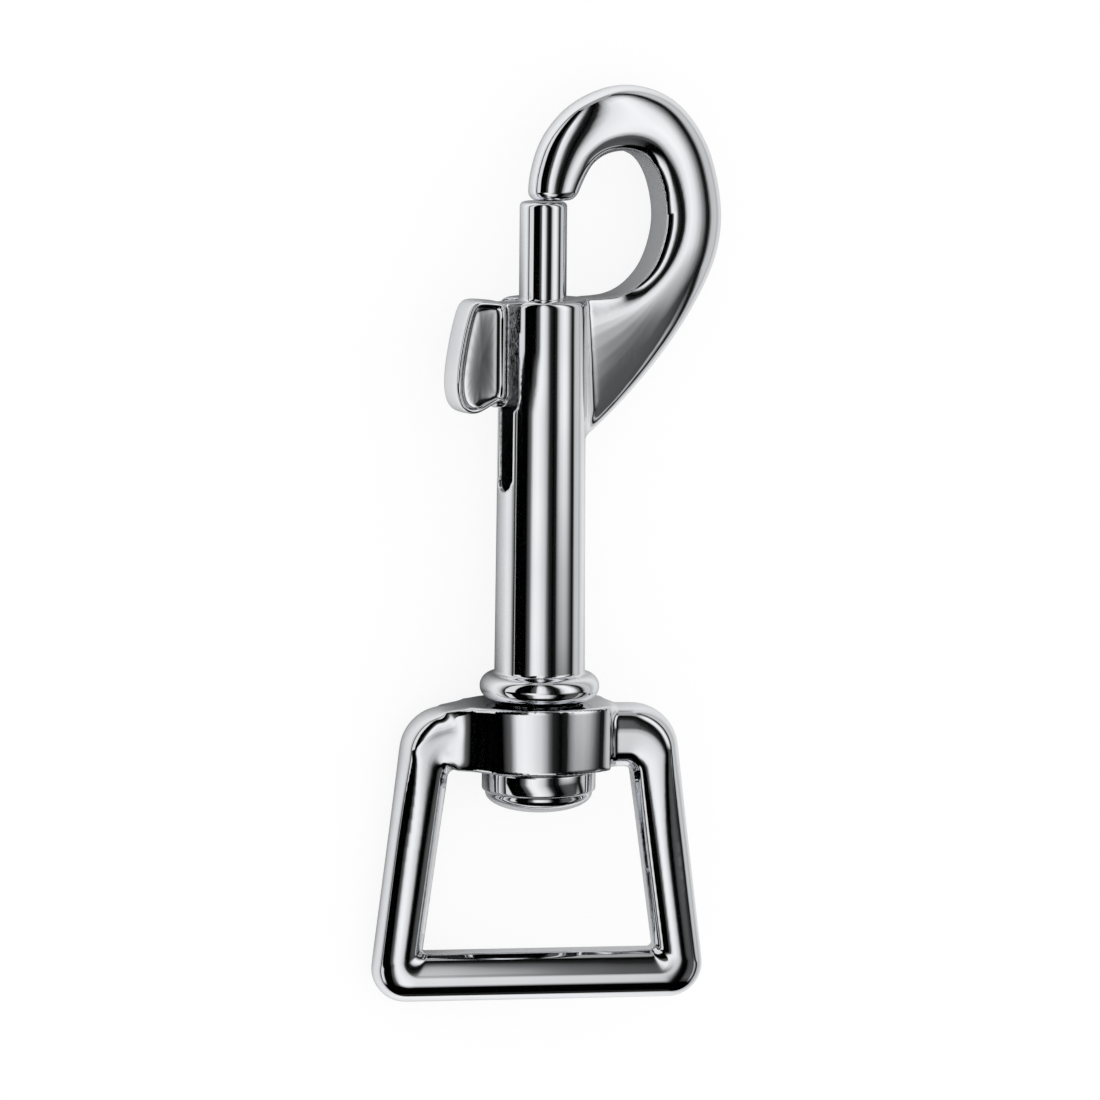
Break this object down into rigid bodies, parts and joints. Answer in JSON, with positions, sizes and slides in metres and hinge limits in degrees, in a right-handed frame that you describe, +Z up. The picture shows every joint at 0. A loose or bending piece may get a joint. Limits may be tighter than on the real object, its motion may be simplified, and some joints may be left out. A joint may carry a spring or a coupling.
{
  "type": "swivel snap hook",
  "caption": "Cast snap hook with a spring bolt worked by a thumb tab, swivelling on a square eye for a flat strap.",
  "frame": {"origin": "middle of the strap bar, on the barrel's axis", "axes": "+Y up the barrel's axis from the strap bar to the hook, +Z up as the part lies, the hook bulges to +X and the thumb tab stands out to -X, rolled a few degrees as it lies"},
  "size_m": [0.0387, 0.0977, 0.014],
  "materials": {
    "plated_casting": "mirror polished nickel and chrome plate on a zinc casting",
    "plated_bolt": "mirror polished nickel and chrome plate on a zinc casting",
    "plated_rivet": "polished plate on steel",
    "plated_eye": "mirror polished nickel and chrome plate on a zinc casting",
    "spring_steel": "bright drawn wire"
  },
  "bodies": {
    "hook": {"snap_body": "plated_casting", "swivel_rivet": "plated_rivet", "bolt_spring": "spring_steel"},
    "bolt": {"latch_bolt": "plated_bolt"},
    "eye": {"swivel_eye": "plated_eye"}
  },
  "joints": [
    {"name": "bolt_slide", "type": "slide", "parent": "hook", "child": "bolt", "axis": [0, -1, 0], "range_m": [0, 0.0088], "stiffness_N_per_m": 820, "springref_m": -0.0045, "deforming": ["bolt_spring"]},
    {"name": "eye_swivel", "type": "hinge", "parent": "hook", "child": "eye", "pos_m": [0, 0, 0], "axis": [0, 1, 0], "continuous": true}
  ]
}
